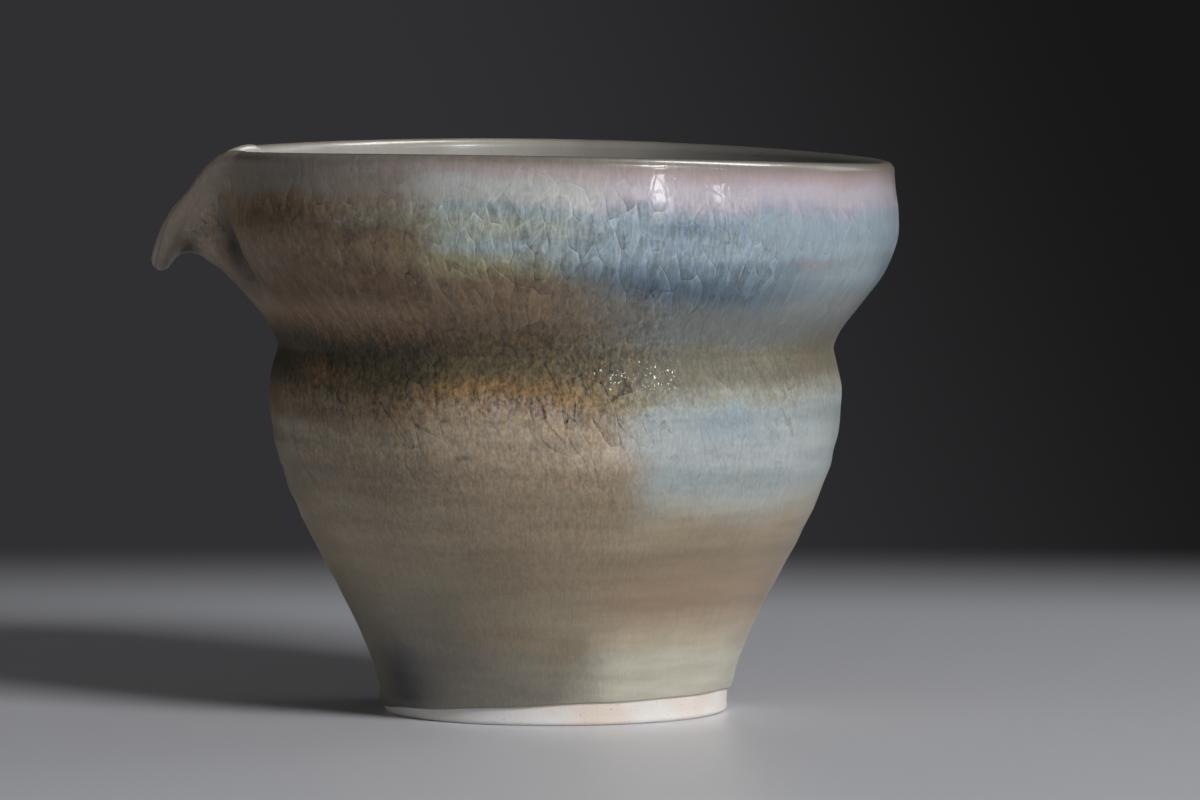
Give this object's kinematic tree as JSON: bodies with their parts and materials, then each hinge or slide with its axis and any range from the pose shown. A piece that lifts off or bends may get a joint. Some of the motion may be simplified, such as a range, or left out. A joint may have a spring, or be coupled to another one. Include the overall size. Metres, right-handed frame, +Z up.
{
  "type": "tea pitcher",
  "caption": "Small ceramic pouring bowl with no handle: flaring collar over a tight waist, tapering belly, bare foot ring, and a short drooping lip on one side.",
  "frame": {"origin": "on the table, under the middle of the pitcher's whole plan with its lip", "axes": "+Z up; the lip points along -X; Y across the lip"},
  "size_m": [0.0978, 0.0896, 0.0737],
  "materials": {
    "bare_clay": "matt, unglazed, fine-grained and pale",
    "dried_slip": "matt, fired slip, hidden under the glaze",
    "outer_glaze": "glossy crackled glaze in bands of grey-blue, taupe, olive, ochre and pale cream",
    "inner_glaze": "glossy pale cream glaze with a faint crackle"
  },
  "bodies": {
    "root": {"thrown_bowl": "bare_clay", "pouring_lip": "bare_clay", "luting_slip": "dried_slip", "outer_glaze": "outer_glaze", "inner_glaze": "inner_glaze"}
  },
  "joints": []
}
